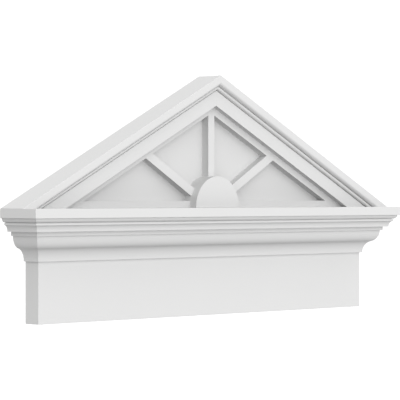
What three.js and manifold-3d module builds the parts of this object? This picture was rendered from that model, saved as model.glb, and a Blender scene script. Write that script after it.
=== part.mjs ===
// A peaked window-head pediment with a bottom trim, put together from flat sheet and moulding lengths.
// Millimetres, +Z up, +X along the width. The wall is the plane Y = 0 and the front faces -Y.
// The origin is the centre of the back of the frieze board, where the whole piece is fixed to the wall.

import * as THREE from 'three';
import { mergeVertices } from 'three/addons/utils/BufferGeometryUtils.js';
import Module from 'manifold-3d';

const INCH = 25.4;

// Bottom trim: frieze board, crown moulding and cap board
const FRIEZE_WIDTH = 26 * INCH;
const FRIEZE_HEIGHT = 5.5 * INCH;
const FRIEZE_THICKNESS = 1 * INCH;
const CAP_OVERHANG = 1.75 * INCH;
const CAP_THICKNESS = 0.5 * INCH;

// Crown profile, from the top down: how far each member stands out from the frieze, and its height
const CAP_LIP = 0.125 * INCH;
const OVOLO_HEIGHT = 0.21 * INCH;
const UPPER_FILLET_REACH = 1.455 * INCH;
const UPPER_FILLET_HEIGHT = 0.12 * INCH;
const COVE_REACH = 1.25 * INCH;
const COVE_HEIGHT = 0.34 * INCH;
const LOWER_FILLET_REACH = 1 * INCH;
const LOWER_FILLET_HEIGHT = 0.22 * INCH;
const CYMA_TOP_REACH = 0.875 * INCH;
const CYMA_FOOT_REACH = 0.125 * INCH;
const CYMA_HEIGHT = 1.315 * INCH;
const CYMA_TURN = 78;
const CROWN_FOOT_HEIGHT = 0.02 * INCH;

// Quirk: the fine groove that sets off an ovolo or a bead
const QUIRK_WIDTH = 0.025 * INCH;
const QUIRK_SINK = 0.06 * INCH;

// Gable: rise over half width, and how far each layer stands out from the wall
const GABLE_SLOPE = 0.5;
const PANEL_DEPTH = 0.5 * INCH;
const FRET_DEPTH = 1 * INCH;
const RAKE_BOARD_DEPTH = 1.375 * INCH;
const HUB_DEPTH = 1.5 * INCH;
const RAKE_FILLET_DEPTH = 1.53 * INCH;
const RAKE_DEPTH = 1.75 * INCH;

// Gable members, measured square to the slope and inward from its top edge
const RAKE_BAND_WIDTH = 0.335 * INCH;
const RAKE_OVOLO_EDGE = 0.52 * INCH;
const RAKE_FILLET_EDGE = 0.61 * INCH;
const RAKE_MOULDING_WIDTH = 0.74 * INCH;
const RAKE_BEAD_EDGE = RAKE_MOULDING_WIDTH - QUIRK_WIDTH;
const RAKE_BOARD_EDGE = 1.51 * INCH;
const FRET_BORDER_EDGE = 1.875 * INCH;

// Fret and hub
const FRET_RAIL_HEIGHT = 0.375 * INCH;
const SPOKE_WIDTH = 0.5 * INCH;
const SPOKE_ANGLES = [30, 90, 150];
const HUB_RADIUS = 1.75 * INCH;

// Hairline joint left at every mitre and slanted seam
const JOINT_GAP = 0.3;

// How far a cutting block runs past the sheet that it cuts, on both faces
const CUT_MARGIN = 10;

// Half the number of straight steps in each moulded curve, and in the round of the hub
const PROFILE_STEPS = 5;
const HUB_STEPS = 16;

// White satin finish
const WHITE = 0xf2f2f1;
const SATIN_ROUGHNESS = 0.45;

// Levels and half widths that follow from the sizes above
const FRIEZE_BOTTOM = -FRIEZE_HEIGHT / 2;
const CAP_UNDERSIDE = FRIEZE_HEIGHT / 2;
const CAP_TOP = CAP_UNDERSIDE + CAP_THICKNESS;
const FRIEZE_HALF = FRIEZE_WIDTH / 2;
const CAP_HALF = FRIEZE_HALF + CAP_OVERHANG;
const CAP_DEPTH = FRIEZE_THICKNESS + CAP_OVERHANG;
const PITCH = Math.atan(GABLE_SLOPE);
const INNER_SEAM = RAKE_MOULDING_WIDTH + JOINT_GAP;

const at = (x, y, z) => new THREE.Vector3(x, y, z);

// Carries a flat profile from a start face to an end face. The two functions say where a profile
// point lands on each face, so a mitre or a plumb cut is a face that leans.
function carry(profile, startFace, endFace, steps = PROFILE_STEPS) {
  const options = { depth: 1, bevelEnabled: false, curveSegments: steps };
  const geometry = new THREE.ExtrudeGeometry(profile, options);
  const corners = geometry.getAttribute('position');
  for (let i = 0; i < corners.count; i += 1) {
    const face = corners.getZ(i) < options.depth / 2 ? startFace : endFace;
    const place = face(corners.getX(i), corners.getY(i));
    corners.setXYZ(i, place.x, place.y, place.z);
  }
  geometry.deleteAttribute('uv');
  geometry.computeVertexNormals();
  return geometry;
}

// A sheet parallel to the wall: its outline is drawn in X and Z, between two depths from the wall
function sheet(outline, backDepth, frontDepth, steps) {
  return carry(outline, (x, z) => at(x, -backDepth, z), (x, z) => at(x, -frontDepth, z), steps);
}

function outlineOf(points) {
  return new THREE.Shape(points.map(([x, z]) => new THREE.Vector2(x, z)));
}

function rectangle(halfWidth, bottom, top) {
  return outlineOf([[-halfWidth, bottom], [halfWidth, bottom], [halfWidth, top], [-halfWidth, top]]);
}

// Crown section: reach from the frieze across, height up
function crownProfile() {
  const topReach = CAP_OVERHANG - CAP_LIP;
  const ovoloFoot = CAP_UNDERSIDE - OVOLO_HEIGHT;
  const filletTop = ovoloFoot - QUIRK_WIDTH;
  const coveTop = filletTop - UPPER_FILLET_HEIGHT;
  const coveFoot = coveTop - COVE_HEIGHT;
  const cymaTop = coveFoot - LOWER_FILLET_HEIGHT;
  const cymaFoot = cymaTop - CYMA_HEIGHT;
  const crownFoot = cymaFoot - CROWN_FOOT_HEIGHT;

  // Each half of the S-curve is part of an ellipse: upright at its outer end, and turned by so many
  // degrees where it meets the other half
  const turn = THREE.MathUtils.degToRad(CYMA_TURN);
  const across = (CYMA_TOP_REACH - CYMA_FOOT_REACH) / 2 / (1 - Math.cos(turn));
  const up = CYMA_HEIGHT / 2 / Math.sin(turn);

  const section = new THREE.Shape();
  section.moveTo(0, CAP_UNDERSIDE);
  section.lineTo(0, crownFoot);
  section.lineTo(CYMA_FOOT_REACH, crownFoot);
  section.lineTo(CYMA_FOOT_REACH, cymaFoot);
  section.absellipse(CYMA_FOOT_REACH + across, cymaFoot, across, up, Math.PI, Math.PI - turn, true);
  section.absellipse(CYMA_TOP_REACH - across, cymaTop, across, up, -turn, 0, false);
  section.lineTo(LOWER_FILLET_REACH, cymaTop);
  section.lineTo(LOWER_FILLET_REACH, coveFoot);
  section.lineTo(COVE_REACH, coveFoot);
  section.absellipse(UPPER_FILLET_REACH, coveFoot, UPPER_FILLET_REACH - COVE_REACH, COVE_HEIGHT,
    Math.PI, Math.PI / 2, true);
  section.lineTo(UPPER_FILLET_REACH, filletTop);
  section.lineTo(UPPER_FILLET_REACH - QUIRK_SINK, filletTop);
  section.lineTo(UPPER_FILLET_REACH - QUIRK_SINK, ovoloFoot);
  section.absellipse(UPPER_FILLET_REACH, CAP_UNDERSIDE, topReach - UPPER_FILLET_REACH, OVOLO_HEIGHT,
    -Math.PI / 2, 0, false);
  section.closePath();
  return section;
}

// Crown along the front, mitred at both ends
function crownFront() {
  const end = (reach) => FRIEZE_HALF + reach - JOINT_GAP;
  const front = (reach) => -FRIEZE_THICKNESS - reach;
  return carry(crownProfile(),
    (reach, z) => at(end(reach), front(reach), z),
    (reach, z) => at(-end(reach), front(reach), z));
}

// Crown on one end of the frieze, from the wall to its mitre; side is -1 on the left and 1 on the right
function crownReturn(side) {
  const atWall = (reach, z) => at(side * (FRIEZE_HALF + reach), 0, z);
  const atMitre = (reach, z) => at(side * (FRIEZE_HALF + reach), -FRIEZE_THICKNESS - reach + JOINT_GAP, z);
  return side > 0 ? carry(crownProfile(), atWall, atMitre) : carry(crownProfile(), atMitre, atWall);
}

// Where a line that runs parallel to the slope, a given distance inside its top edge, meets the cap
// board and the middle of the gable
const footOf = (inset) => CAP_HALF - inset / Math.sin(PITCH);
const peakOf = (inset) => CAP_TOP + CAP_HALF * GABLE_SLOPE - inset / Math.cos(PITCH);

// A sloping length, cut level on the cap board and plumb at the peak
function rake(section, side) {
  const gap = JOINT_GAP / 2;
  const atFoot = (inset, depth) => at(side * footOf(inset), -depth, CAP_TOP);
  const atPeak = (inset, depth) => at(side * gap, -depth, peakOf(inset) - gap * GABLE_SLOPE);
  return side > 0 ? carry(section, atFoot, atPeak) : carry(section, atPeak, atFoot);
}

// Section of the outer sloping moulding: inset from the slope across, depth from the wall up
function rakeMoulding(side) {
  const section = new THREE.Shape();
  section.moveTo(0, 0);
  section.lineTo(RAKE_MOULDING_WIDTH, 0);
  section.lineTo(RAKE_MOULDING_WIDTH, RAKE_BOARD_DEPTH - QUIRK_SINK);
  section.lineTo(RAKE_BEAD_EDGE, RAKE_BOARD_DEPTH - QUIRK_SINK);
  section.lineTo(RAKE_BEAD_EDGE, RAKE_BOARD_DEPTH);
  section.absellipse(RAKE_FILLET_EDGE, RAKE_BOARD_DEPTH,
    RAKE_BEAD_EDGE - RAKE_FILLET_EDGE, RAKE_FILLET_DEPTH - RAKE_BOARD_DEPTH, 0, Math.PI / 2, false);
  section.lineTo(RAKE_OVOLO_EDGE + QUIRK_WIDTH, RAKE_FILLET_DEPTH);
  section.lineTo(RAKE_OVOLO_EDGE + QUIRK_WIDTH, RAKE_FILLET_DEPTH - QUIRK_SINK);
  section.lineTo(RAKE_OVOLO_EDGE, RAKE_FILLET_DEPTH - QUIRK_SINK);
  section.absellipse(RAKE_BAND_WIDTH, RAKE_FILLET_DEPTH,
    RAKE_OVOLO_EDGE - RAKE_BAND_WIDTH, RAKE_DEPTH - RAKE_FILLET_DEPTH, 0, Math.PI / 2, false);
  section.lineTo(0, RAKE_DEPTH);
  section.closePath();
  return rake(section, side);
}

function rakeBoard(side) {
  const section = outlineOf([
    [INNER_SEAM, FRET_DEPTH],
    [RAKE_BOARD_EDGE, FRET_DEPTH],
    [RAKE_BOARD_EDGE, RAKE_BOARD_DEPTH],
    [INNER_SEAM, RAKE_BOARD_DEPTH],
  ]);
  return rake(section, side);
}

// Triangle on the cap board, a given distance inside the slope
function gable(inset, bottom = CAP_TOP) {
  const foot = footOf(inset) - (bottom - CAP_TOP) / GABLE_SLOPE;
  return outlineOf([[-foot, bottom], [foot, bottom], [0, peakOf(inset)]]);
}

function halfRound() {
  const outline = new THREE.Shape();
  outline.moveTo(HUB_RADIUS, CAP_TOP);
  outline.absarc(0, CAP_TOP, HUB_RADIUS, 0, Math.PI, false);
  outline.closePath();
  return outline;
}

// Strip from the middle of the cap board outward, long enough to cross the border
function spoke(degrees) {
  const angle = THREE.MathUtils.degToRad(degrees);
  const along = new THREE.Vector2(Math.cos(angle), Math.sin(angle));
  const across = new THREE.Vector2(-along.y, along.x).multiplyScalar(SPOKE_WIDTH / 2);
  const corner = (reach, sign) => [
    along.x * reach + across.x * sign,
    along.y * reach + across.y * sign + CAP_TOP,
  ];
  return outlineOf([corner(0, -1), corner(CAP_HALF, -1), corner(CAP_HALF, 1), corner(0, 1)]);
}

const wasm = await Module();
wasm.setup();

function toSolid(geometry) {
  const bare = geometry.clone();
  bare.deleteAttribute('normal');
  const merged = mergeVertices(bare);
  return new wasm.Manifold(new wasm.Mesh({
    numProp: 3,
    vertProperties: new Float32Array(merged.getAttribute('position').array),
    triVerts: new Uint32Array(merged.getIndex().array),
  }));
}

function toGeometry(solid) {
  const mesh = solid.getMesh();
  const geometry = new THREE.BufferGeometry();
  geometry.setAttribute('position', new THREE.BufferAttribute(new Float32Array(mesh.vertProperties), 3));
  geometry.setIndex(new THREE.BufferAttribute(new Uint32Array(mesh.triVerts), 1));
  geometry.computeVertexNormals();
  return geometry;
}

// The fret is a triangular sheet. Its openings are the space inside the border, less the spokes and hub.
function spokeFret() {
  const cutBack = PANEL_DEPTH - CUT_MARGIN;
  const cutFront = FRET_DEPTH + CUT_MARGIN;
  const cutter = (outline, steps) => toSolid(sheet(outline, cutBack, cutFront, steps));
  let openings = cutter(gable(FRET_BORDER_EDGE, CAP_TOP + FRET_RAIL_HEIGHT));
  openings = openings.subtract(cutter(halfRound(), HUB_STEPS));
  for (const degrees of SPOKE_ANGLES) {
    openings = openings.subtract(cutter(spoke(degrees)));
  }
  return toGeometry(toSolid(sheet(gable(INNER_SEAM), PANEL_DEPTH, FRET_DEPTH)).subtract(openings));
}

const pediment = new THREE.Group();

function add(name, geometry) {
  const material = new THREE.MeshStandardMaterial({ color: WHITE, roughness: SATIN_ROUGHNESS, metalness: 0 });
  const mesh = new THREE.Mesh(geometry, material);
  mesh.name = name;
  pediment.add(mesh);
}

add('frieze_board', sheet(rectangle(FRIEZE_HALF, FRIEZE_BOTTOM, CAP_UNDERSIDE), 0, FRIEZE_THICKNESS));
add('crown_front', crownFront());
add('cap_board', sheet(rectangle(CAP_HALF, CAP_UNDERSIDE, CAP_TOP), 0, CAP_DEPTH));
add('tympanum_panel', sheet(gable(INNER_SEAM), 0, PANEL_DEPTH));
add('spoke_fret', spokeFret());
add('hub', sheet(halfRound(), FRET_DEPTH, HUB_DEPTH, HUB_STEPS));
for (const [hand, side] of [['left', -1], ['right', 1]]) {
  add(`crown_return_${hand}`, crownReturn(side));
  add(`rake_board_${hand}`, rakeBoard(side));
  add(`rake_moulding_${hand}`, rakeMoulding(side));
}

export default pediment;
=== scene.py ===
# %% [markdown]
# # A peaked window-head pediment
#
# The object is a white head piece for a window or a door. A frieze board carries a crown moulding
# and a cap board, and on the cap board stands a low gable with a spoked fret behind its sloping
# mouldings. The construction solids give every size and place. This lesson dresses each of them:
# it eases the edges, draws the mouldings with fine curves and gives each surface its own finish.

# %% Load the frame
import itertools
import math

import bmesh
import bpy
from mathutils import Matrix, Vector
from mathutils.geometry import tessellate_polygon


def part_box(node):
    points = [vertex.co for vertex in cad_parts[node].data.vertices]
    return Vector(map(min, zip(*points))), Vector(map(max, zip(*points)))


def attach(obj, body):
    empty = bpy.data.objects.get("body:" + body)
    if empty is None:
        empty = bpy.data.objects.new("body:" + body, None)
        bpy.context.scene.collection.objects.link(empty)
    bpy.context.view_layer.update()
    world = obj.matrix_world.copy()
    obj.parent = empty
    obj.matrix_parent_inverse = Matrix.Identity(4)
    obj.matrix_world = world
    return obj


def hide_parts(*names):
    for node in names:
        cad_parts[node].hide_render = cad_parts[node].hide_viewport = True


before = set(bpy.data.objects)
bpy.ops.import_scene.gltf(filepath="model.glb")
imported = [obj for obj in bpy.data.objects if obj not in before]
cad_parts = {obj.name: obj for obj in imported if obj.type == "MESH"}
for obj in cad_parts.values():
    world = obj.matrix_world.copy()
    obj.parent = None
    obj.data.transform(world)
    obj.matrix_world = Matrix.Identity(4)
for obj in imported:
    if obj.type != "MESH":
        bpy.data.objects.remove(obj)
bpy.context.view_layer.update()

# %% [markdown]
# ## The camera
#
# Perspective tells where a camera stood. The level lines of this object lean very little, so the
# camera was far away with a long lens, level with the object's middle and well to the left. It could
# be aimed with a Track To constraint, but three plain numbers for its place and two for its direction
# are easier to check. The heading is a compass angle from the wall's inward direction, and the dip is
# how far the camera looks down.

# %% Set up the camera
LENS_MM = 193.9
SENSOR_MM = 36.0
CAMERA_PLACE = Vector((-2.2264, -2.1310, 0.0990))
CAMERA_HEADING = math.radians(46.294)
CAMERA_DIP = math.radians(0.106)
LEVEL_GAZE = math.radians(90)

camera = bpy.data.objects.new("camera", bpy.data.cameras.new("camera"))
camera.data.lens = LENS_MM
camera.data.sensor_width = SENSOR_MM
camera.location = CAMERA_PLACE
camera.rotation_euler = (LEVEL_GAZE - CAMERA_DIP, 0.0, -CAMERA_HEADING)
bpy.context.scene.collection.objects.link(camera)
bpy.context.scene.camera = camera
print("camera:", round(CAMERA_PLACE.length, 2), "m away")

# %% [markdown]
# ## Wiring nodes
#
# The light and the finishes are both trees of nodes. Wiring them by hand in the editor is quick, but in
# code it takes a line for every link and every value. These helpers take a node's inputs as a table
# instead: what comes from another node is linked, and what is a plain value is set.

# %% Make the wiring helpers
def feed(node, inputs):
    """Feeds a node's inputs, by name or number, with plain values or other nodes' outputs."""
    for socket, value in inputs.items():
        if isinstance(value, bpy.types.NodeSocket):
            node.id_data.links.new(value, node.inputs[socket])
        else:
            node.inputs[socket].default_value = value


def add_node(tree, kind, inputs=None, **settings):
    """A new node with its settings made and its inputs fed."""
    node = tree.nodes.new(kind)
    for setting, value in settings.items():
        setattr(node, setting, value)
    feed(node, inputs or {})
    return node


def calculate(tree, operation, *values):
    """The output of a Math node that works on the given values."""
    return add_node(tree, "ShaderNodeMath", dict(enumerate(values)), operation=operation).outputs[0]


def mix_colours(tree, factor, first, second):
    """The output of a Mix node that goes from the first colour to the second."""
    inputs = {"Factor": factor, "A": first, "B": second}
    return add_node(tree, "ShaderNodeMix", inputs, data_type="RGBA").outputs["Result"]


def choose_shader(tree, factor, first, second):
    """The output of a Mix Shader node that goes from the first shader to the second."""
    return add_node(tree, "ShaderNodeMixShader", {0: factor, 1: first, 2: second}).outputs[0]


print("wiring helpers ready")

# %% [markdown]
# ## Soft studio light
#
# White on white shows only by its shading, so the light has to be soft but not even. Lamps could be
# hung one by one, but their falloff would make one end of the object brighter. Here the world itself
# is the studio: a dim dome with a few wide glows in it, most of them in front, above and to the left.
# A glow is the cosine of the angle to its middle, raised to a power. The camera sees plain white behind
# the object: the Light Path node tells its rays from the others.

# %% Light the studio
DOME_LEVEL = 0.2
GLOW_TIGHTNESS = 5.0
GLOWS = {
    "front": ((0, -1, 0), 1.2),
    "upper_front": ((0, -1, 1), 0.9),
    "front_left": ((-1, -1, 0), 0.95),
    "upper_left": ((-1, 0, 1), 0.75),
    "overhead": ((0, 0, 1), 0.45),
    "upper_right": ((1, 0, 1), 0.5),
    "right": ((1, 0, 0), 0.35),
    "back": ((0, 1, 0), 1.2),
}
BACKDROP_STRENGTH = 1.15
WHITE = (1, 1, 1, 1)


def dome_brightness(tree):
    """The brightness of the dome in each direction: its level and its glows."""
    direction = add_node(tree, "ShaderNodeTexCoord").outputs["Generated"]
    total = DOME_LEVEL
    for name, (middle, strength) in GLOWS.items():
        inputs = {0: direction, 1: Vector(middle).normalized()}
        facing = add_node(tree, "ShaderNodeVectorMath", inputs, operation="DOT_PRODUCT", name=name)
        lit_side = calculate(tree, "MAXIMUM", facing.outputs["Value"], 0.0)
        glow = calculate(tree, "POWER", lit_side, GLOW_TIGHTNESS)
        total = calculate(tree, "MULTIPLY_ADD", glow, strength, total)
    return total


def light_dome():
    """A world that lights the object with the dome and shows the camera a white backdrop."""
    world = bpy.data.worlds.new("studio_dome")
    world.use_nodes = True
    tree = world.node_tree
    tree.nodes.clear()
    dome = add_node(tree, "ShaderNodeBackground", {"Color": WHITE, "Strength": dome_brightness(tree)})
    backdrop = add_node(tree, "ShaderNodeBackground", {"Color": WHITE, "Strength": BACKDROP_STRENGTH})
    seen = add_node(tree, "ShaderNodeLightPath").outputs["Is Camera Ray"]
    surface = choose_shader(tree, seen, dome.outputs[0], backdrop.outputs[0])
    add_node(tree, "ShaderNodeOutputWorld", {"Surface": surface})
    return world


bpy.context.scene.world = light_dome()
bpy.context.scene.view_settings.view_transform = "Standard"
print("dome: level", DOME_LEVEL, "with", len(GLOWS), "glows")

# %% [markdown]
# ## Shared effects
#
# Cellular PVC is a foamed plastic sheet with a smooth skin. Three things keep it from looking like
# plain paint: a faint cloudiness of the skin, fine lines where a tool or a die ran along it, and a
# fine grain. Several finishes need them in different amounts, so each effect is one node group with
# named inputs and outputs, made once and placed in every material with its own values.

# %% Build the node groups
NUMBER = "NodeSocketFloat"
VECTOR = "NodeSocketVector"
CLOUD_DETAIL = 3.0
CLOUD_ROUGHNESS = 0.55
LINE_DETAIL = 2.0


def new_group(name, inputs, output):
    """An empty shader node group with one output, and the two nodes that carry its sockets."""
    group = bpy.data.node_groups.new(name, "ShaderNodeTree")
    for label, kind in inputs.items():
        group.interface.new_socket(name=label, in_out="INPUT", socket_type=kind)
    group.interface.new_socket(name=output, in_out="OUTPUT", socket_type=NUMBER)
    return group, add_node(group, "NodeGroupInput").outputs, add_node(group, "NodeGroupOutput")


def cloudiness_group():
    """Slow, soft clouds from 0 to 1, for the tone and the gloss of a skin."""
    group, given, result = new_group("skin_cloudiness", {"Place": VECTOR, "Scale": NUMBER}, "Clouds")
    inputs = {"Vector": given["Place"], "Scale": given["Scale"]}
    clouds = add_node(group, "ShaderNodeTexNoise", inputs)
    feed(clouds, {"Detail": CLOUD_DETAIL, "Roughness": CLOUD_ROUGHNESS})
    feed(result, {"Clouds": clouds.outputs["Fac"]})
    return group


def run_lines_group():
    """Fine lines along the first direction of the grain map, as a height from 0 to 1."""
    group, given, result = new_group("run_lines", {"Grain": VECTOR, "Stretch": VECTOR}, "Height")
    inputs = {0: given["Grain"], 1: given["Stretch"]}
    stretched = add_node(group, "ShaderNodeVectorMath", inputs, operation="MULTIPLY").outputs["Vector"]
    inputs = {"Vector": stretched, "Scale": 1.0, "Detail": LINE_DETAIL}
    lines = add_node(group, "ShaderNodeTexNoise", inputs)
    feed(result, {"Height": lines.outputs["Fac"]})
    return group


def skin_grain_group():
    """The fine pebbling of a foamed skin, as a height from 0 to 1."""
    group, given, result = new_group("skin_grain", {"Place": VECTOR, "Scale": NUMBER}, "Height")
    inputs = {"Vector": given["Place"], "Scale": given["Scale"]}
    pebbles = add_node(group, "ShaderNodeTexVoronoi", inputs, feature="SMOOTH_F1")
    feed(result, {"Height": pebbles.outputs["Distance"]})
    return group


CLOUDINESS = cloudiness_group()
RUN_LINES = run_lines_group()
SKIN_GRAIN = skin_grain_group()
print("groups:", CLOUDINESS.name, RUN_LINES.name, SKIN_GRAIN.name)

# %% [markdown]
# ## Toning down bounced light
#
# White walls throw so much light at each other that every recess would fill up. A darker white would
# help, but then the faces would turn grey. So only the bounced light is toned down. This is a device of
# the render and no property of the plastic. A ray that has already bounced off a matt surface is known
# by Light Path, which also tells how far it has come. Such a ray meets nearly the full white close by,
# and a darker tone the further it has come, up to a few centimetres. So a wide recess keeps its depth
# and a tight corner doesn't turn black.

# %% Tone down the bounced light
BOUNCE_REACH = 0.03
NEAR_BOUNCE = 0.72
FAR_BOUNCE = 0.16


def answer_light(tree, tone):
    """The surface's tone, and for rays that have bounced a grey that falls with their length."""
    rays = add_node(tree, "ShaderNodeLightPath").outputs
    fade = add_node(tree, "ShaderNodeMapRange", {"Value": rays["Ray Length"], "From Max": BOUNCE_REACH})
    feed(fade, {"To Min": NEAR_BOUNCE, "To Max": FAR_BOUNCE})
    return mix_colours(tree, rays["Is Diffuse Ray"], tone, fade.outputs["Result"])


print("bounced light falls from", NEAR_BOUNCE, "to", FAR_BOUNCE, "over", BOUNCE_REACH, "m")

# %% [markdown]
# ## The three whites
#
# One white does not fit all. The flat sheet has its factory skin, smooth and nearly matt. Where the
# sheet is cut, the foam shows: it is rougher, a little darker and carries the lines of the tool. The
# mouldings are drawn through a die, so their skin is smooth with faint lines along the length. The
# finishes differ only by a few values, so one function builds them all from the shared groups.

# %% Mix the finishes
GRAIN = "grain"
CLOUD_SCALE = 9.0
GRAIN_SCALE = 900.0
GRAIN_SHARE = 0.35
MATT_SPECULAR = 0.1


def place_group(tree, group, inputs):
    """The output of a group that is placed in a material."""
    return add_node(tree, "ShaderNodeGroup", inputs, node_tree=group).outputs[0]


def white_finish(name, light, dark, gloss, stretch, relief):
    """A white plastic: its two tones, range of roughness, line stretch and relief in metres."""
    material = bpy.data.materials.new(name)
    material.use_nodes = True
    tree = material.node_tree
    place = add_node(tree, "ShaderNodeTexCoord").outputs["Object"]
    grain_map = add_node(tree, "ShaderNodeUVMap", uv_map=GRAIN).outputs["UV"]
    clouds = place_group(tree, CLOUDINESS, {"Place": place, "Scale": CLOUD_SCALE})
    lines = place_group(tree, RUN_LINES, {"Grain": grain_map, "Stretch": stretch})
    pebbles = place_group(tree, SKIN_GRAIN, {"Place": place, "Scale": GRAIN_SCALE})
    tone = mix_colours(tree, clouds, (*dark, 1), (*light, 1))
    sheen = add_node(tree, "ShaderNodeMapRange", {"Value": clouds})
    feed(sheen, {"To Min": gloss[0], "To Max": gloss[1]})
    height = add_node(tree, "ShaderNodeMix", {"Factor": GRAIN_SHARE, "A": lines, "B": pebbles})
    bump = add_node(tree, "ShaderNodeBump", {"Height": height.outputs["Result"], "Distance": relief})
    skin = tree.nodes["Principled BSDF"]
    feed(skin, {"Base Color": answer_light(tree, tone), "Roughness": sheen.outputs["Result"]})
    feed(skin, {"Normal": bump.outputs["Normal"], "Specular IOR Level": MATT_SPECULAR})
    return material


BOARD_SKIN = white_finish(
    "board_skin",
    light=(0.812, 0.812, 0.810),
    dark=(0.788, 0.788, 0.786),
    gloss=(0.48, 0.58),
    stretch=(60, 500, 1),
    relief=0.00002,
)
ROUTED_EDGE = white_finish(
    "routed_edge",
    light=(0.812, 0.812, 0.808),
    dark=(0.782, 0.782, 0.778),
    gloss=(0.60, 0.72),
    stretch=(30, 1600, 1),
    relief=0.00004,
)
MOULDING_SKIN = white_finish(
    "moulding_skin",
    light=(0.812, 0.812, 0.810),
    dark=(0.790, 0.790, 0.788),
    gloss=(0.45, 0.54),
    stretch=(4, 900, 1),
    relief=0.00002,
)
print("finishes:", BOARD_SKIN.name, ROUTED_EDGE.name, MOULDING_SKIN.name)

# %% [markdown]
# ## The floor
#
# The head piece hangs over a window or a door, so the floor lies about two metres below it. From the
# camera's height it stays under the picture. It is a wide pale disc with a soft mottle and a faint
# light of its own, so that the white object shows against it from above. It is hidden from diffuse
# rays, so it doesn't light the object from below. Its underside is clear, so that the object can also
# be looked at from far below: Backfacing picks the side that is seen.

# %% Lay the floor
FLOOR_DROP = 2.1
FLOOR_RADIUS = 15.0
FLOOR_SIDES = 128
FLOOR_MOTTLE_SCALE = 0.8
FLOOR_DARK = (0.86, 0.86, 0.86, 1)
FLOOR_LIGHT = (0.90, 0.90, 0.90, 1)
FLOOR_ROUGHNESS = 0.9
FLOOR_SHINE = 0.17


def lay_floor():
    """A wide disc under the object that neither lights it nor shades it."""
    bm = bmesh.new()
    bmesh.ops.create_circle(bm, cap_ends=True, radius=FLOOR_RADIUS, segments=FLOOR_SIDES)
    mesh = bpy.data.meshes.new("studio_floor")
    bm.to_mesh(mesh)
    bm.free()
    floor = bpy.data.objects.new("studio_floor", mesh)
    floor.location.z = -FLOOR_DROP
    floor.visible_diffuse = False
    floor.visible_shadow = False
    bpy.context.scene.collection.objects.link(floor)
    return floor


def floor_paint():
    """A pale mottled paint on the upper side, and nothing on the underside."""
    material = bpy.data.materials.new("floor_paint")
    material.use_nodes = True
    tree = material.node_tree
    place = add_node(tree, "ShaderNodeTexCoord").outputs["Object"]
    mottle = place_group(tree, CLOUDINESS, {"Place": place, "Scale": FLOOR_MOTTLE_SCALE})
    paint = tree.nodes["Principled BSDF"]
    feed(paint, {"Base Color": mix_colours(tree, mottle, FLOOR_DARK, FLOOR_LIGHT)})
    feed(paint, {"Roughness": FLOOR_ROUGHNESS, "Emission Color": WHITE, "Emission Strength": FLOOR_SHINE})
    clear = add_node(tree, "ShaderNodeBsdfTransparent")
    underside = add_node(tree, "ShaderNodeNewGeometry").outputs["Backfacing"]
    surface = choose_shader(tree, underside, paint.outputs[0], clear.outputs[0])
    feed(tree.nodes["Material Output"], {"Surface": surface})
    return material


floor = lay_floor()
floor.data.materials.append(floor_paint())
print("floor:", FLOOR_DROP, "m below the object")

# %% [markdown]
# ## Sizes
#
# The levels and depths are read from the solids, so the dressed pieces can't drift away from them.
# What a box can't tell, such as the members of a moulding, is written further down, beside the piece
# that needs it, as named sizes in inches, because the boards and mouldings are stock sizes.

# %% Read the levels and depths
INCH = 0.0254


def depth_of(node):
    """How far a solid stands out from the wall."""
    return -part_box(node)[0].y


FRIEZE_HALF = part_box("frieze_board")[1].x
FRIEZE_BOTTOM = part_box("frieze_board")[0].z
FRIEZE_DEPTH = depth_of("frieze_board")
CAP_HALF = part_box("cap_board")[1].x
CAP_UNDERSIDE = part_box("cap_board")[0].z
CAP_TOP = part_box("cap_board")[1].z
CAP_DEPTH = depth_of("cap_board")
PANEL_DEPTH = depth_of("tympanum_panel")
FRET_DEPTH = depth_of("spoke_fret")
HUB_DEPTH = depth_of("hub")
HUB_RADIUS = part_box("hub")[1].x
RAKE_BOARD_DEPTH = depth_of("rake_board_left")
RAKE_DEPTH = depth_of("rake_moulding_left")
print("frieze:", FRIEZE_HALF * 2, "m wide; cap:", CAP_HALF * 2, "m wide,", CAP_DEPTH, "m deep")

# %% [markdown]
# ## Outlines with eased corners
#
# A real board has no perfectly sharp edge: a fraction of a millimetre is rubbed off, and that thin
# curve catches the light. A Bevel modifier could ease every edge alike, but the buried back edges and
# the inner corners should stay sharp. So every outline is drawn here as a flat loop of points, and its
# sharp outer corners are traded for small curves before it becomes a mesh.

# %% Draw and ease outlines
SHARP_TURN = math.radians(28)
CORNER_STEPS = 4
CORNER_SHARE = 0.4


def neighbours(loop):
    """Each point of a closed loop with the one before and the one after."""
    return zip(loop[-1:] + loop[:-1], loop, loop[1:] + loop[:1])


def arc(centre, radii, start, end, steps):
    """Points along an elliptical arc between two angles in degrees, both ends included."""
    turns = [math.radians(start + (end - start) * i / steps) for i in range(steps + 1)]
    places = [(centre[0] + radii[0] * math.cos(t), centre[1] + radii[1] * math.sin(t)) for t in turns]
    return [Vector(place) for place in places]


def eased(loop, size):
    """A closed loop with each sharp outer corner traded for a small curve. Inner corners stay sharp."""
    smooth = []
    for before, corner, after in neighbours(loop):
        arrive = corner - before
        leave = after - corner
        inner = arrive.cross(leave) < 0
        if inner or arrive.angle(leave) < SHARP_TURN:
            smooth.append(corner)
            continue
        cut = min(size, CORNER_SHARE * arrive.length, CORNER_SHARE * leave.length)
        start = corner - arrive.normalized() * cut
        end = corner + leave.normalized() * cut
        for step in range(CORNER_STEPS + 1):
            t = step / CORNER_STEPS
            smooth.append(start * (1 - t) ** 2 + corner * 2 * t * (1 - t) + end * t ** 2)
    return smooth


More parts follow.
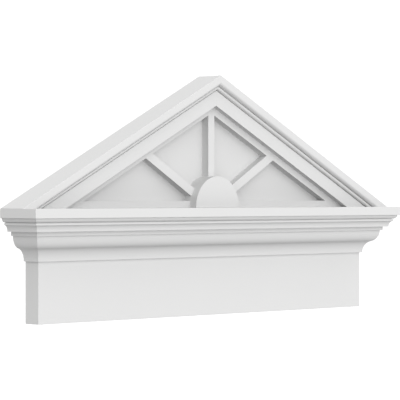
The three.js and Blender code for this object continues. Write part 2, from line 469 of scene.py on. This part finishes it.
def inset(loop, distance):
    """A closed loop moved to its left, mitred at the corners."""
    moved = []
    for before, corner, after in neighbours(loop):
        arrive = (corner - before).normalized()
        leave = (after - corner).normalized()
        across = Vector((-arrive.y, arrive.x))
        middle = (across + Vector((-leave.y, leave.x))).normalized()
        moved.append(corner + middle * (distance / middle.dot(across)))
    return moved


def rectangle(half_width, bottom, top):
    """The outline of a board that is centred on the middle."""
    corners = [(-half_width, bottom), (half_width, bottom), (half_width, top), (-half_width, top)]
    return [Vector(corner) for corner in corners]


print("outline helpers ready; corners over", round(math.degrees(SHARP_TURN)), "degrees are eased")

# %% [markdown]
# ## Bands and covers
#
# A mesh is built here from rings of points: a band of quads joins one ring to the next, and a cover
# closes the end. Extruding in edit mode would do the same by hand. Every corner also gets its place in
# the grain map, a UV map measured in metres, which tells the finishes which way the fine lines run. A
# cover with holes can't be one face in Blender, so it is cut into triangles.

# %% Build bands and covers
FACE_FINISH = 0
EDGE_FINISH = 1


def travelled(loop):
    """Distance gone at each point of a closed loop, and once more at its end."""
    steps = [(after - point).length for point, after in zip(loop, loop[1:] + loop[:1])]
    return [0.0, *itertools.accumulate(steps)]


def add_ring(bm, points):
    """The points of one ring, as vertices."""
    return [bm.verts.new(point) for point in points]


def add_band(bm, first, second, mark, finish):
    """Quads from one ring to the next. mark(i, end) gives the grain coordinate of a corner."""
    grain = bm.loops.layers.uv[GRAIN]
    for i in range(len(first)):
        j = (i + 1) % len(first)
        face = bm.faces.new((first[i], first[j], second[j], second[i]))
        face.material_index = finish
        for loop, at in zip(face.loops, (mark(i, 0), mark(i + 1, 0), mark(i + 1, 1), mark(i, 1))):
            loop[grain].uv = at


def add_cover(bm, rings, mark, finish):
    """A flat cover over the first ring, with the other rings as holes in it."""
    grain = bm.loops.layers.uv[GRAIN]
    corners = list(itertools.chain(*rings))
    if len(rings) == 1:
        pieces = [range(len(corners))]
    else:
        pieces = tessellate_polygon([[vert.co for vert in ring] for ring in rings])
    for piece in pieces:
        face = bm.faces.new([corners[i] for i in piece])
        face.material_index = finish
        for loop in face.loops:
            loop[grain].uv = mark(loop.vert.co)


print("mesh helpers ready")

# %% [markdown]
# ## From mesh to piece
#
# Every piece ends in the same way: its faces are turned outward, it gets its finishes, and edges that
# turn sharply are shaded sharp. A Weighted Normal modifier then keeps the large flat faces evenly
# shaded beside their thin eased edges. The piece takes the place of its solid and rides on the part.

# %% Finish a piece
def finish_piece(node, bm, finishes):
    """Turns a built mesh into a piece that stands for one solid and rides on the part's body."""
    name = "finished_" + node
    bmesh.ops.recalc_face_normals(bm, faces=bm.faces)
    mesh = bpy.data.meshes.new(name)
    bm.to_mesh(mesh)
    bm.free()
    for finish in finishes:
        mesh.materials.append(finish)
    mesh.shade_smooth()
    mesh.set_sharp_from_angle(angle=SHARP_TURN)
    piece = bpy.data.objects.new(name, mesh)
    bpy.context.scene.collection.objects.link(piece)
    piece.modifiers.new("even_shading", "WEIGHTED_NORMAL").keep_sharp = True
    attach(piece, "root")
    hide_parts(node)
    print(name + ":", len(mesh.polygons), "faces")


print("edges over", round(math.degrees(SHARP_TURN)), "degrees are shaded sharp")

# %% [markdown]
# ## A board as a stack of rings
#
# A flat board is a stack of rings between its back and its front. The first band goes straight up the
# cut edge, and the next ones curl in to the face by a quarter circle, so that only the edge that shows
# is eased. An opening is a second stack inside the first, and it is eased in the same way.

# %% Stack rings into a board
ROUND_STEPS = 4
CORNER_TO_EASE = 1.6


def build_board(node, outline, back, front, ease, holes=()):
    """A flat board from one depth to another, drawn in X and Z, eased round its front face."""
    turns = [math.radians(90 * i / ROUND_STEPS) for i in range(ROUND_STEPS + 1)]
    steps = [(0.0, back)]
    steps += [(ease * (1 - math.cos(t)), front - ease * (1 - math.sin(t))) for t in turns]
    bm = bmesh.new()
    bm.loops.layers.uv.new(GRAIN)
    backs, fronts = [], []
    for sharp in (outline, *holes):
        loop = eased(sharp, ease * CORNER_TO_EASE)
        gone = travelled(loop)
        rings = []
        for shift, depth in steps:
            rings.append(add_ring(bm, [(p.x, -depth, p.y) for p in inset(loop, shift)]))
        for k in range(len(steps) - 1):
            depths = (steps[k][1], steps[k + 1][1])
            add_band(bm, rings[k], rings[k + 1], lambda i, end: (gone[i], depths[end]), EDGE_FINISH)
        backs.append(rings[0])
        fronts.append(rings[-1])
    for rings in (backs, fronts):
        add_cover(bm, rings, lambda place: (place.x, place.z), FACE_FINISH)
    finish_piece(node, bm, (BOARD_SKIN, ROUTED_EDGE))


print("boards are eased in", ROUND_STEPS, "steps")

# %% [markdown]
# ## Frieze board and cap board
#
# The frieze is one plain tall board. Its lower edge sits on the window casing, and it carries all the
# rest. The cap board is a thinner shelf that covers the top of the crown and stands a little past it.
# Two cubes with a bevel would look alike, but the same board function serves every sheet here.

# %% Make the frieze board and the cap board
BOARD_EASE = 0.0005

frieze_outline = rectangle(FRIEZE_HALF, FRIEZE_BOTTOM, CAP_UNDERSIDE)
cap_outline = rectangle(CAP_HALF, CAP_UNDERSIDE, CAP_TOP)
build_board("frieze_board", frieze_outline, 0, FRIEZE_DEPTH, BOARD_EASE)
build_board("cap_board", cap_outline, 0, CAP_DEPTH, BOARD_EASE)

# %% [markdown]
# ## The gable's panel
#
# Every line of the gable runs parallel to its slope, at some distance inside the top edge. So two
# small functions give where such a line meets the cap board and the middle, and the whole gable is
# drawn with them. The panel at the back is a plain triangle that shows through the fret.

# %% Make the tympanum panel
GABLE_SLOPE = 0.5
PITCH = math.atan(GABLE_SLOPE)
SEAM_GAP = 0.0003
RAKE_MOULDING_WIDTH = 0.74 * INCH
INNER_SEAM = RAKE_MOULDING_WIDTH + SEAM_GAP
SHEET_EASE = 0.00025


def foot_of(distance):
    """Half width, on the cap board, of the line that runs this far inside the slope."""
    return CAP_HALF - distance / math.sin(PITCH)


def peak_of(distance):
    """Height over the cap board of that line, in the middle of the gable."""
    return CAP_HALF * GABLE_SLOPE - distance / math.cos(PITCH)


def gable(distance):
    """The triangle on the cap board that lies this far inside the slopes."""
    foot = foot_of(distance)
    return [Vector((-foot, CAP_TOP)), Vector((foot, CAP_TOP)), Vector((0, CAP_TOP + peak_of(distance)))]


build_board("tympanum_panel", gable(INNER_SEAM), 0, PANEL_DEPTH, SHEET_EASE)

# %% [markdown]
# ## The fret
#
# The fret is one sheet with four openings cut through it. What stays is a border along the slope, a
# low rail on the cap board, three spokes and a half-round in the middle. Each opening lies between
# two straight edges that aim at the middle, so it is worked out from those two edges: where each one
# leaves the half-round and where it reaches the border. The left openings are mirror images.

# %% Make the spoke fret
FRET_BORDER_EDGE = 1.875 * INCH
FRET_RAIL_HEIGHT = 0.375 * INCH
SPOKE_WIDTH = 0.5 * INCH
SIDE_SPOKE = 30
UPRIGHT_SPOKE = 90
HUB_STEPS = 96
FRET_BORDER_PEAK = peak_of(FRET_BORDER_EDGE)


def edge_ends(degrees, offset):
    """Where a straight edge leaves the half-round, as an angle, and its point on the right border."""
    turn = math.radians(degrees)
    along = Vector((math.cos(turn), math.sin(turn)))
    aside = Vector((-along.y, along.x)) * offset
    climb = along.y + GABLE_SLOPE * along.x
    reach = (FRET_BORDER_PEAK - aside.y - GABLE_SLOPE * aside.x) / climb
    return degrees + math.degrees(math.asin(offset / HUB_RADIUS)), aside + along * reach


def opening(lower, upper):
    """One opening on the right, drawn clockwise, between a lower and an upper edge."""
    low_angle, low_corner = edge_ends(*lower)
    high_angle, high_corner = edge_ends(*upper)
    steps = math.ceil(HUB_STEPS * (high_angle - low_angle) / 180)
    curve = arc((0, 0), (HUB_RADIUS, HUB_RADIUS), low_angle, high_angle, steps)
    return [point + Vector((0, CAP_TOP)) for point in (*curve, high_corner, low_corner)]


def mirrored(loop):
    """The loop on the other side of the middle, drawn in the same sense."""
    return [Vector((-point.x, point.y)) for point in reversed(loop)]


half_spoke = SPOKE_WIDTH / 2
right_openings = [
    opening((0, FRET_RAIL_HEIGHT), (SIDE_SPOKE, -half_spoke)),
    opening((SIDE_SPOKE, half_spoke), (UPRIGHT_SPOKE, -half_spoke)),
]
openings = right_openings + [mirrored(loop) for loop in right_openings]
build_board("spoke_fret", gable(INNER_SEAM), PANEL_DEPTH, FRET_DEPTH, SHEET_EASE, openings)

# %% [markdown]
# ## The hub
#
# The hub is a thick half-round glued on the middle of the fret, where the spokes meet. It has the
# same round as the fret below it, so its edge runs down to the panel as one wall. A cylinder cut in
# half would do, but drawn as an outline it is eased like the other boards.

# %% Make the hub
hub_outline = arc((0, CAP_TOP), (HUB_RADIUS, HUB_RADIUS), 0, 180, HUB_STEPS)
build_board("hub", hub_outline, FRET_DEPTH, HUB_DEPTH, BOARD_EASE)

# %% [markdown]
# ## Lengths of moulding
#
# A moulding is one section carried along a straight line and sawn off at both ends. A curve object
# with a bevel profile would do that, but its ends are always cut square. Here the section is placed
# twice, by a function for each end, and the two rings are joined. A mitre or a plumb cut is then
# only a function that lets the end lean. The grain map runs along the length, as the die marks do.

# %% Carry a section between two cuts
def build_length(node, slot, section, start_cut, end_cut, finish):
    """A length of one section. Each cut gives the place of a section point on that end."""
    gone = travelled(section)
    bm = bmesh.new()
    bm.loops.layers.uv.new(GRAIN)
    start = add_ring(bm, [start_cut(p.x, p.y) for p in section])
    end = add_ring(bm, [end_cut(p.x, p.y) for p in section])
    length = max((b.co - a.co).length for a, b in zip(start, end))
    ends = (0.0, length)
    add_band(bm, start, end, lambda i, side: (ends[side], gone[i]), FACE_FINISH)
    for ring in (start, end):
        add_cover(bm, [ring], lambda place: (place.x + place.y, place.z), EDGE_FINISH)
    finish_piece(node, bm, (finish, ROUTED_EDGE))


print("lengths are carried between two cuts")

# %% [markdown]
# ## The crown's section
#
# From the top the crown has an ovolo under the cap board, a quirk, which is a fine groove that sets
# off a curve, a small fillet, a cove, a second fillet and a long S-curve that runs back to the frieze.
# Each curve is an arc, so a few reaches and heights describe them all. The outer corners are eased a
# little, as a die can't leave a knife edge.

# %% Draw the crown's section
CAP_OVERHANG = CAP_HALF - FRIEZE_HALF
CAP_LIP = 0.125 * INCH
OVOLO_HEIGHT = 0.21 * INCH
QUIRK_WIDTH = 0.025 * INCH
QUIRK_SINK = 0.06 * INCH
UPPER_FILLET_REACH = 1.455 * INCH
UPPER_FILLET_HEIGHT = 0.12 * INCH
COVE_REACH = 1.25 * INCH
COVE_HEIGHT = 0.34 * INCH
LOWER_FILLET_REACH = 1.0 * INCH
LOWER_FILLET_HEIGHT = 0.22 * INCH
CYMA_TOP_REACH = 0.875 * INCH
CYMA_FOOT_REACH = 0.125 * INCH
CYMA_HEIGHT = 1.315 * INCH
CYMA_TURN = 78
CROWN_FOOT_HEIGHT = 0.02 * INCH
MOULDING_EASE = 0.0004
CURVE_STEPS = 20


def crown_section():
    """The crown's outline: how far a point stands out from the frieze, and its height."""
    top_reach = CAP_OVERHANG - CAP_LIP
    ovolo_foot = CAP_UNDERSIDE - OVOLO_HEIGHT
    fillet_top = ovolo_foot - QUIRK_WIDTH
    cove_top = fillet_top - UPPER_FILLET_HEIGHT
    cove_foot = cove_top - COVE_HEIGHT
    cyma_top = cove_foot - LOWER_FILLET_HEIGHT
    cyma_foot = cyma_top - CYMA_HEIGHT
    foot = cyma_foot - CROWN_FOOT_HEIGHT
    half_run = (CYMA_TOP_REACH - CYMA_FOOT_REACH) / 2
    half_drop = CYMA_HEIGHT / 2
    turn = math.radians(CYMA_TURN)
    cyma_radii = (half_run / (1 - math.cos(turn)), half_drop / math.sin(turn))
    cove_radii = (UPPER_FILLET_REACH - COVE_REACH, COVE_HEIGHT)
    ovolo_radii = (top_reach - UPPER_FILLET_REACH, OVOLO_HEIGHT)
    hollow_centre = (CYMA_FOOT_REACH + cyma_radii[0], cyma_foot)
    swell_centre = (CYMA_TOP_REACH - cyma_radii[0], cyma_top)
    hollow = arc(hollow_centre, cyma_radii, 180, 180 - CYMA_TURN, CURVE_STEPS)
    swell = arc(swell_centre, cyma_radii, -CYMA_TURN, 0, CURVE_STEPS)
    cove = arc((UPPER_FILLET_REACH, cove_foot), cove_radii, 180, 90, CURVE_STEPS)
    ovolo = arc((UPPER_FILLET_REACH, CAP_UNDERSIDE), ovolo_radii, -90, 0, CURVE_STEPS)
    quirk_reach = UPPER_FILLET_REACH - QUIRK_SINK
    base = [(0, CAP_UNDERSIDE), (0, foot), (CYMA_FOOT_REACH, foot)]
    fillet = [(LOWER_FILLET_REACH, cyma_top), (LOWER_FILLET_REACH, cove_foot)]
    quirk = [(UPPER_FILLET_REACH, fillet_top), (quirk_reach, fillet_top), (quirk_reach, ovolo_foot)]
    section = [*base, *hollow, *swell[1:], *fillet, *cove, *quirk, *ovolo]
    return eased([Vector(corner) for corner in section], MOULDING_EASE)


CROWN_SECTION = crown_section()
print("crown section:", len(CROWN_SECTION), "points")

# %% [markdown]
# ## Crown with mitred returns
#
# The crown runs along the front and turns the corner at both ends with a mitre, so that the same
# section also finishes the sides back to the wall. At a mitre a point that stands further out also
# sits further along, which is all that the cut functions below say.

# %% Make the crown and its returns
MITRE_GAP = 0.00005
HANDS = (("left", -1), ("right", 1))


def front_cut(side):
    """The mitre at one end of the front length."""
    def cut(reach, height):
        return Vector((side * (FRIEZE_HALF + reach - MITRE_GAP), -FRIEZE_DEPTH - reach, height))
    return cut


def return_cuts(side):
    """The two ends of a return: square at the wall and mitred at the front."""
    def at_wall(reach, height):
        return Vector((side * (FRIEZE_HALF + reach), 0, height))

    def at_mitre(reach, height):
        return Vector((side * (FRIEZE_HALF + reach), MITRE_GAP - FRIEZE_DEPTH - reach, height))
    return at_wall, at_mitre


build_length("crown_front", "white_moulding", CROWN_SECTION, front_cut(-1), front_cut(1), MOULDING_SKIN)
for hand, side in HANDS:
    cuts = return_cuts(side)
    build_length("crown_return_" + hand, "white_moulding", CROWN_SECTION, *cuts, MOULDING_SKIN)

# %% [markdown]
# ## Sections of the sloping members
#
# Two members run up each slope: a flat board over the fret's border, and outside it the moulding
# that closes the gable. It has a flat band, an ovolo and a small fillet that ends in a bead, with a
# quirk after each of the two curves. Both sections are drawn by the distance inside the slope and the
# depth from the wall, so that the same two numbers also place them on the gable.

# %% Draw the sloping sections
RAKE_BAND_WIDTH = 0.335 * INCH
RAKE_OVOLO_EDGE = 0.52 * INCH
RAKE_FILLET_EDGE = 0.61 * INCH
RAKE_BEAD_EDGE = RAKE_MOULDING_WIDTH - QUIRK_WIDTH
RAKE_FILLET_DEPTH = 1.53 * INCH
RAKE_BOARD_EDGE = 1.51 * INCH


def rake_board_section():
    """The flat board's outline: distance inside the slope, and depth from the wall."""
    corners = [(INNER_SEAM, FRET_DEPTH), (RAKE_BOARD_EDGE, FRET_DEPTH)]
    corners += [(RAKE_BOARD_EDGE, RAKE_BOARD_DEPTH), (INNER_SEAM, RAKE_BOARD_DEPTH)]
    return eased([Vector(corner) for corner in corners], SHEET_EASE)


def rake_moulding_section():
    """The moulding's outline, from its back round the bead and the ovolo to the band."""
    ovolo_radii = (RAKE_OVOLO_EDGE - RAKE_BAND_WIDTH, RAKE_DEPTH - RAKE_FILLET_DEPTH)
    bead_radii = (RAKE_BEAD_EDGE - RAKE_FILLET_EDGE, RAKE_FILLET_DEPTH - RAKE_BOARD_DEPTH)
    ovolo = arc((RAKE_BAND_WIDTH, RAKE_FILLET_DEPTH), ovolo_radii, 0, 90, CURVE_STEPS)
    bead = arc((RAKE_FILLET_EDGE, RAKE_BOARD_DEPTH), bead_radii, 0, 90, CURVE_STEPS)
    bead_floor = RAKE_BOARD_DEPTH - QUIRK_SINK
    ovolo_floor = RAKE_FILLET_DEPTH - QUIRK_SINK
    fillet_start = RAKE_OVOLO_EDGE + QUIRK_WIDTH
    base = [(0, 0), (RAKE_MOULDING_WIDTH, 0)]
    bead_quirk = [(RAKE_MOULDING_WIDTH, bead_floor), (RAKE_BEAD_EDGE, bead_floor)]
    fillet_end = [(fillet_start, RAKE_FILLET_DEPTH)]
    ovolo_quirk = [(fillet_start, ovolo_floor), (RAKE_OVOLO_EDGE, ovolo_floor)]
    section = [*base, *bead_quirk, *bead, *fillet_end, *ovolo_quirk, *ovolo, (0, RAKE_DEPTH)]
    return eased([Vector(corner) for corner in section], MOULDING_EASE)


RAKE_BOARD_SECTION = rake_board_section()
RAKE_MOULDING_SECTION = rake_moulding_section()
print("sloping sections:", len(RAKE_BOARD_SECTION), "and", len(RAKE_MOULDING_SECTION), "points")

# %% [markdown]
# ## Sloping boards and mouldings
#
# Both members stand level on the cap board and meet their mirror images in a plumb joint at the peak.
# A Mirror modifier could make the right side, but each side is a piece of its own, so the cut
# functions take the side as a sign instead.

# %% Make the sloping pieces
PEAK_GAP = 0.00002


def rake_cuts(side):
    """The two ends of a sloping member: level on the cap board and plumb at the peak."""
    def on_cap(distance, depth):
        return Vector((side * foot_of(distance), -depth, CAP_TOP))

    def at_peak(distance, depth):
        return Vector((side * PEAK_GAP, -depth, CAP_TOP + peak_of(distance) - PEAK_GAP * GABLE_SLOPE))
    return on_cap, at_peak


for hand, side in HANDS:
    cuts = rake_cuts(side)
    build_length("rake_board_" + hand, "white_sheet", RAKE_BOARD_SECTION, *cuts, BOARD_SKIN)
    build_length("rake_moulding_" + hand, "white_moulding", RAKE_MOULDING_SECTION, *cuts, MOULDING_SKIN)
